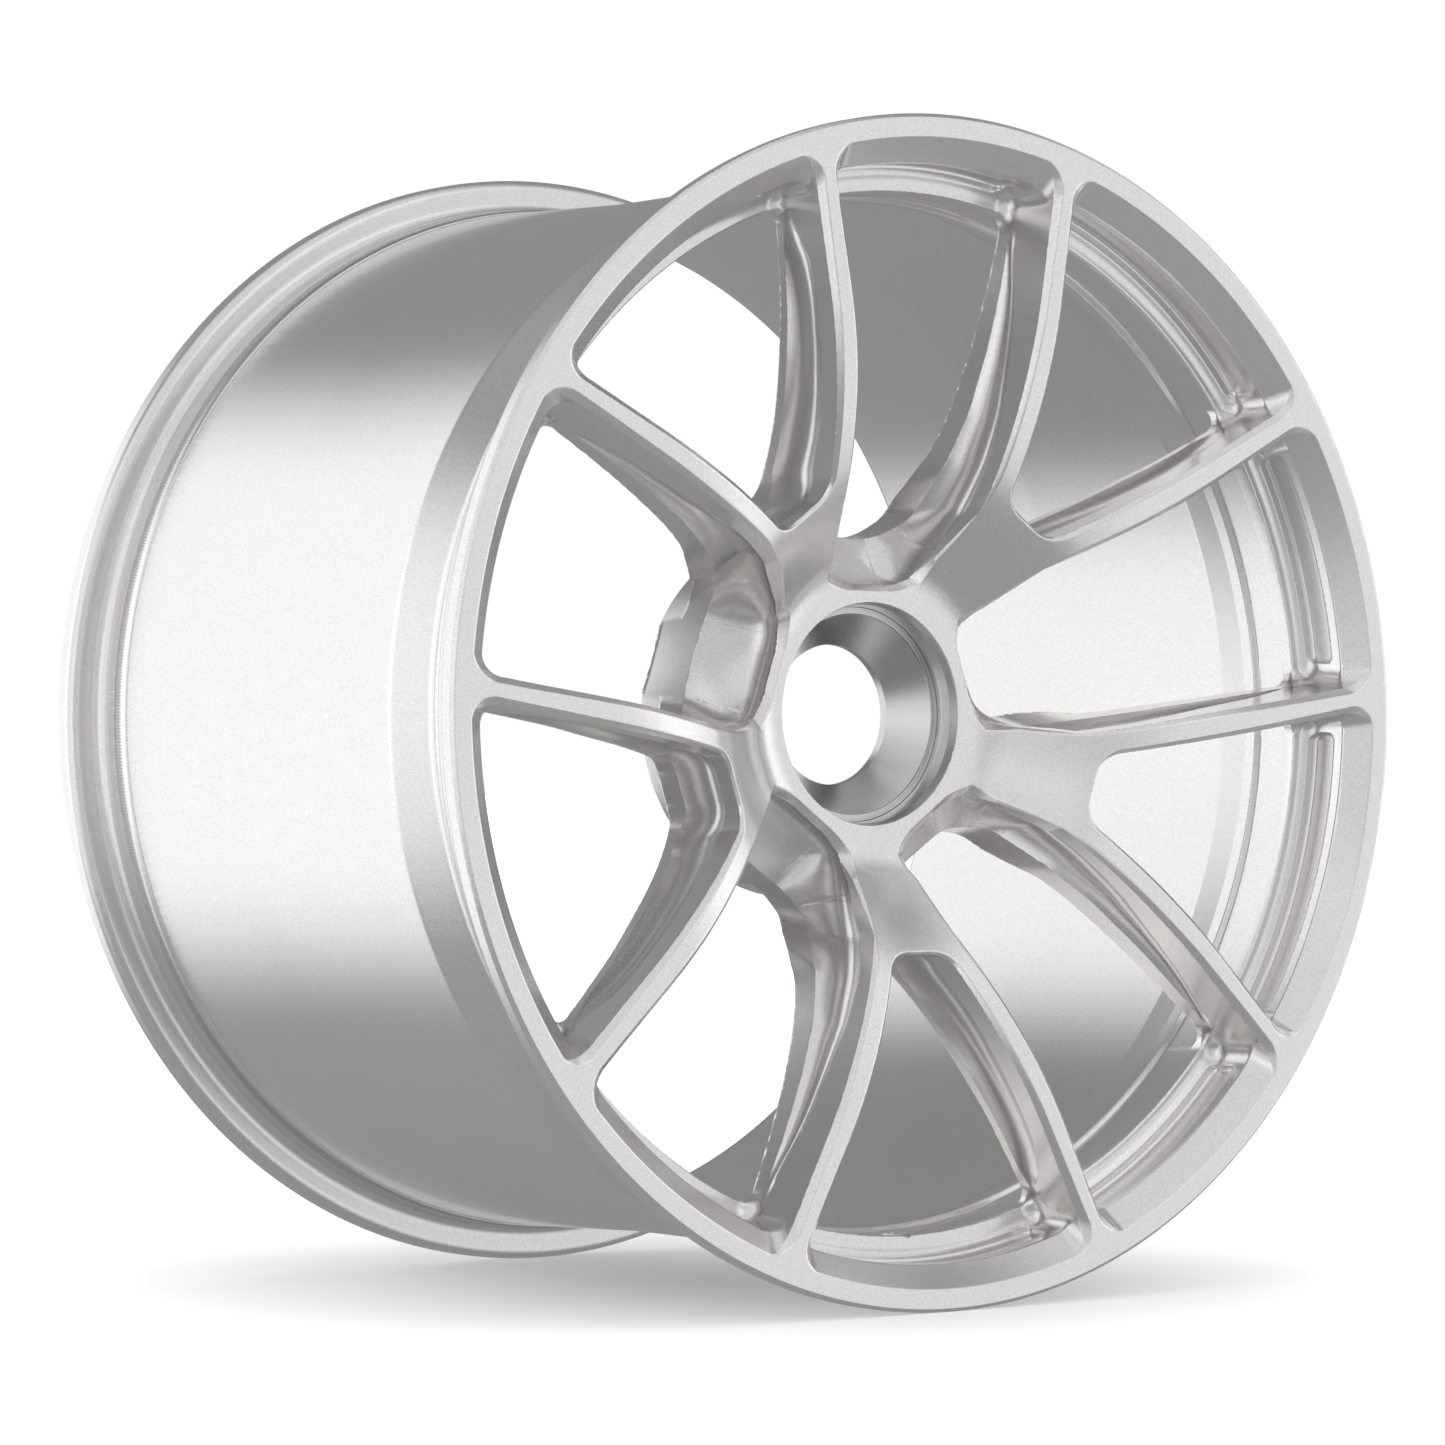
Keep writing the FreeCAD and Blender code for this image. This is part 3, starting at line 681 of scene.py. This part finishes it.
def turned_metal(name, dark, light, roughness, pitch, strength):
    """Metal turned on a lathe: fine grooves round the wheel axis."""
    material, tree, node, metal = shader(name, Metallic=1.0)
    place = node("ShaderNodeTexCoord")
    split = node("ShaderNodeSeparateXYZ")
    radius = node("ShaderNodeVectorMath", operation="LENGTH")
    flat = node("ShaderNodeVectorMath", operation="MULTIPLY")
    flat.inputs[1].default_value = (1, 0, 1)
    total = node("ShaderNodeMath", operation="ADD")
    groove = node("ShaderNodeMath", operation="MULTIPLY")
    groove.inputs[1].default_value = 2 * math.pi / pitch
    wave = node("ShaderNodeMath", operation="SINE")
    grain = node("ShaderNodeTexNoise", Scale=900.0, Detail=4.0)
    tint = node("ShaderNodeValToRGB")
    tint.color_ramp.elements[0].color = (*dark, 1)
    tint.color_ramp.elements[1].color = (*light, 1)
    rough = node("ShaderNodeMapRange")
    rough.inputs["To Min"].default_value = roughness - 0.05
    rough.inputs["To Max"].default_value = roughness + 0.05
    bump = node("ShaderNodeBump", Strength=strength, Distance=0.0001)
    link = tree.links.new
    link(place.outputs["Object"], flat.inputs[0])
    link(flat.outputs["Vector"], radius.inputs[0])
    link(place.outputs["Object"], split.inputs["Vector"])
    link(radius.outputs["Value"], total.inputs[0])
    link(split.outputs["Y"], total.inputs[1])
    link(total.outputs["Value"], groove.inputs[0])
    link(groove.outputs["Value"], wave.inputs[0])
    link(wave.outputs["Value"], bump.inputs["Height"])
    link(bump.outputs["Normal"], metal.inputs["Normal"])
    link(place.outputs["Object"], grain.inputs["Vector"])
    link(grain.outputs["Fac"], tint.inputs["Fac"])
    link(tint.outputs["Color"], metal.inputs["Base Color"])
    link(grain.outputs["Fac"], rough.inputs["Value"])
    link(rough.outputs["Result"], metal.inputs["Roughness"])
    return material


def finish_with(piece, material):
    """Gives a piece one material and no other."""
    piece.data.materials.clear()
    piece.data.materials.append(material)


# ---- studio ----
def camera():
    """A long lens in front of the wheel and to its left, a little below the axis."""
    data = bpy.data.cameras.new("camera")
    data.sensor_width = 36.0
    data.lens = 129.64
    data.clip_start, data.clip_end = 0.1, 100.0
    made = bpy.data.objects.new("camera", data)
    bpy.context.scene.collection.objects.link(made)
    right, up = Vector((0.80529, -0.59288, 0.0)), Vector((-0.00632, -0.00858, 0.99994))
    back = right.cross(up)
    turn = Matrix((right, up, back)).transposed()
    made.matrix_world = Matrix.Translation((-1.5509, -2.1006, -0.0310)) @ turn.to_4x4()
    bpy.context.scene.camera = made


def studio_floor():
    """A large pale floor with painted light: it glows to plain white away from the wheel and not
    near it, which paints a soft shadow under the wheel.
    """
    size, height = 60.0, low.z
    # emission over the distance from the wheel: none within 0.24 m, a painted shadow under the
    # wheel, full white glow from 0.6 m
    painted_glow_range = (("From Min", 0.24), ("From Max", 0.6), ("To Min", 0.0), ("To Max", 1.0))
    corners = np.array([(-size, -size, height), (size, -size, height), (size, size, height),
                        (-size, size, height)])
    floor = mesh_object("floor", corners, np.array([[0, 1, 2, 3]]))
    material, tree, node, surface = shader("pale_floor", Roughness=0.9)
    surface.inputs["Base Color"].default_value = (0.9, 0.9, 0.9, 1)
    surface.inputs["Emission Color"].default_value = (1, 1, 1, 1)
    place = node("ShaderNodeTexCoord")
    away = node("ShaderNodeVectorMath", operation="LENGTH")
    painted_glow = node("ShaderNodeMapRange")
    for socket, value in painted_glow_range:
        painted_glow.inputs[socket].default_value = value
    tree.links.new(place.outputs["Object"], away.inputs[0])
    tree.links.new(away.outputs["Value"], painted_glow.inputs["Value"])
    # the floor's glow is painted light, and its absence near the wheel is a painted shadow
    tree.links.new(painted_glow.outputs["Result"], surface.inputs["Emission Strength"])
    floor.data.materials.append(material)
    floor.visible_glossy = False


ROOM_LOW, ROOM_HIGH = 0.30, 0.28
PANELS = [
    # direction, half angle of the full light, half angle where it ends, strength
    ((-0.56, 0.82, 0.1), 24, 44, 0.95),
    ((0.593, -0.805, 0.05), 26, 58, 0.61),
    ((1.0, 0.0, 0.15), 20, 42, 0.55),
    ((-0.2, -0.5, 1.0), 24, 52, 0.55),
    ((-1.0, -0.02, 0.1), 24, 50, 0.72),
    ((-0.6, -0.8, 0.05), 16, 34, 0.38),
]


def studio_light():
    """A pale room with large soft panels, and plain white behind the wheel."""
    world = bpy.data.worlds.new("studio")
    bpy.context.scene.world = world
    world.use_nodes = True
    tree = world.node_tree
    link = tree.links.new
    tree.nodes.clear()
    place = tree.nodes.new("ShaderNodeTexCoord")
    height = tree.nodes.new("ShaderNodeSeparateXYZ")
    link(place.outputs["Generated"], height.inputs["Vector"])
    room = tree.nodes.new("ShaderNodeMapRange")
    room.inputs["From Min"].default_value, room.inputs["From Max"].default_value = -0.6, 0.4
    room.inputs["To Min"].default_value = ROOM_LOW
    room.inputs["To Max"].default_value = ROOM_HIGH
    room.interpolation_type = "SMOOTHSTEP"
    link(height.outputs["Z"], room.inputs["Value"])
    level = room.outputs["Result"]
    for direction, full, end, strength in PANELS:
        toward = tree.nodes.new("ShaderNodeVectorMath")
        toward.operation = "DOT_PRODUCT"
        toward.inputs[1].default_value = Vector(direction).normalized()
        link(place.outputs["Generated"], toward.inputs[0])
        panel = tree.nodes.new("ShaderNodeMapRange")
        panel.interpolation_type = "SMOOTHSTEP"
        panel.inputs["From Min"].default_value = math.cos(math.radians(end))
        panel.inputs["From Max"].default_value = math.cos(math.radians(full))
        panel.inputs["To Max"].default_value = strength
        link(toward.outputs["Value"], panel.inputs["Value"])
        both = tree.nodes.new("ShaderNodeMath")
        link(level, both.inputs[0])
        link(panel.outputs["Result"], both.inputs[1])
        level = both.outputs["Value"]
    seen = tree.nodes.new("ShaderNodeLightPath")
    mix = tree.nodes.new("ShaderNodeMix")
    mix.inputs["B"].default_value = 1.0
    link(seen.outputs["Is Camera Ray"], mix.inputs["Factor"])
    link(level, mix.inputs["A"])
    background = tree.nodes.new("ShaderNodeBackground")
    background.inputs["Color"].default_value = (1, 1, 1, 1)
    output = tree.nodes.new("ShaderNodeOutputWorld")
    link(mix.outputs["Result"], background.inputs["Strength"])
    link(background.outputs["Background"], output.inputs["Surface"])


camera()
studio_light()
studio_floor()
bpy.context.scene.view_settings.view_transform = "Standard"

paint = silver_paint()
for make in (wheel_forging, bead_knurl):
    piece = make()
    finish_with(piece, paint)
    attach(piece, "root")
    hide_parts("wheel_forging")

nut_seat_grey = turned_metal("nut_seat_grey", (0.56, 0.56, 0.56), (0.64, 0.64, 0.64),
                             roughness=0.22, pitch=0.0016, strength=0.2)
finish_with(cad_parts["nut_seat_insert"], nut_seat_grey)
ring_metal = turned_metal("ring_metal", (0.55, 0.55, 0.56), (0.66, 0.66, 0.67),
                          roughness=0.3, pitch=0.0012, strength=0.2)
finish_with(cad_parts["centring_ring"], ring_metal)
bush_steel = turned_metal("bush_steel", (0.40, 0.40, 0.41), (0.52, 0.52, 0.53),
                          roughness=0.25, pitch=0.001, strength=0.1)
for name, node_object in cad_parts.items():
    if name.startswith("drive_pin_bush"):
        finish_with(node_object, bush_steel)
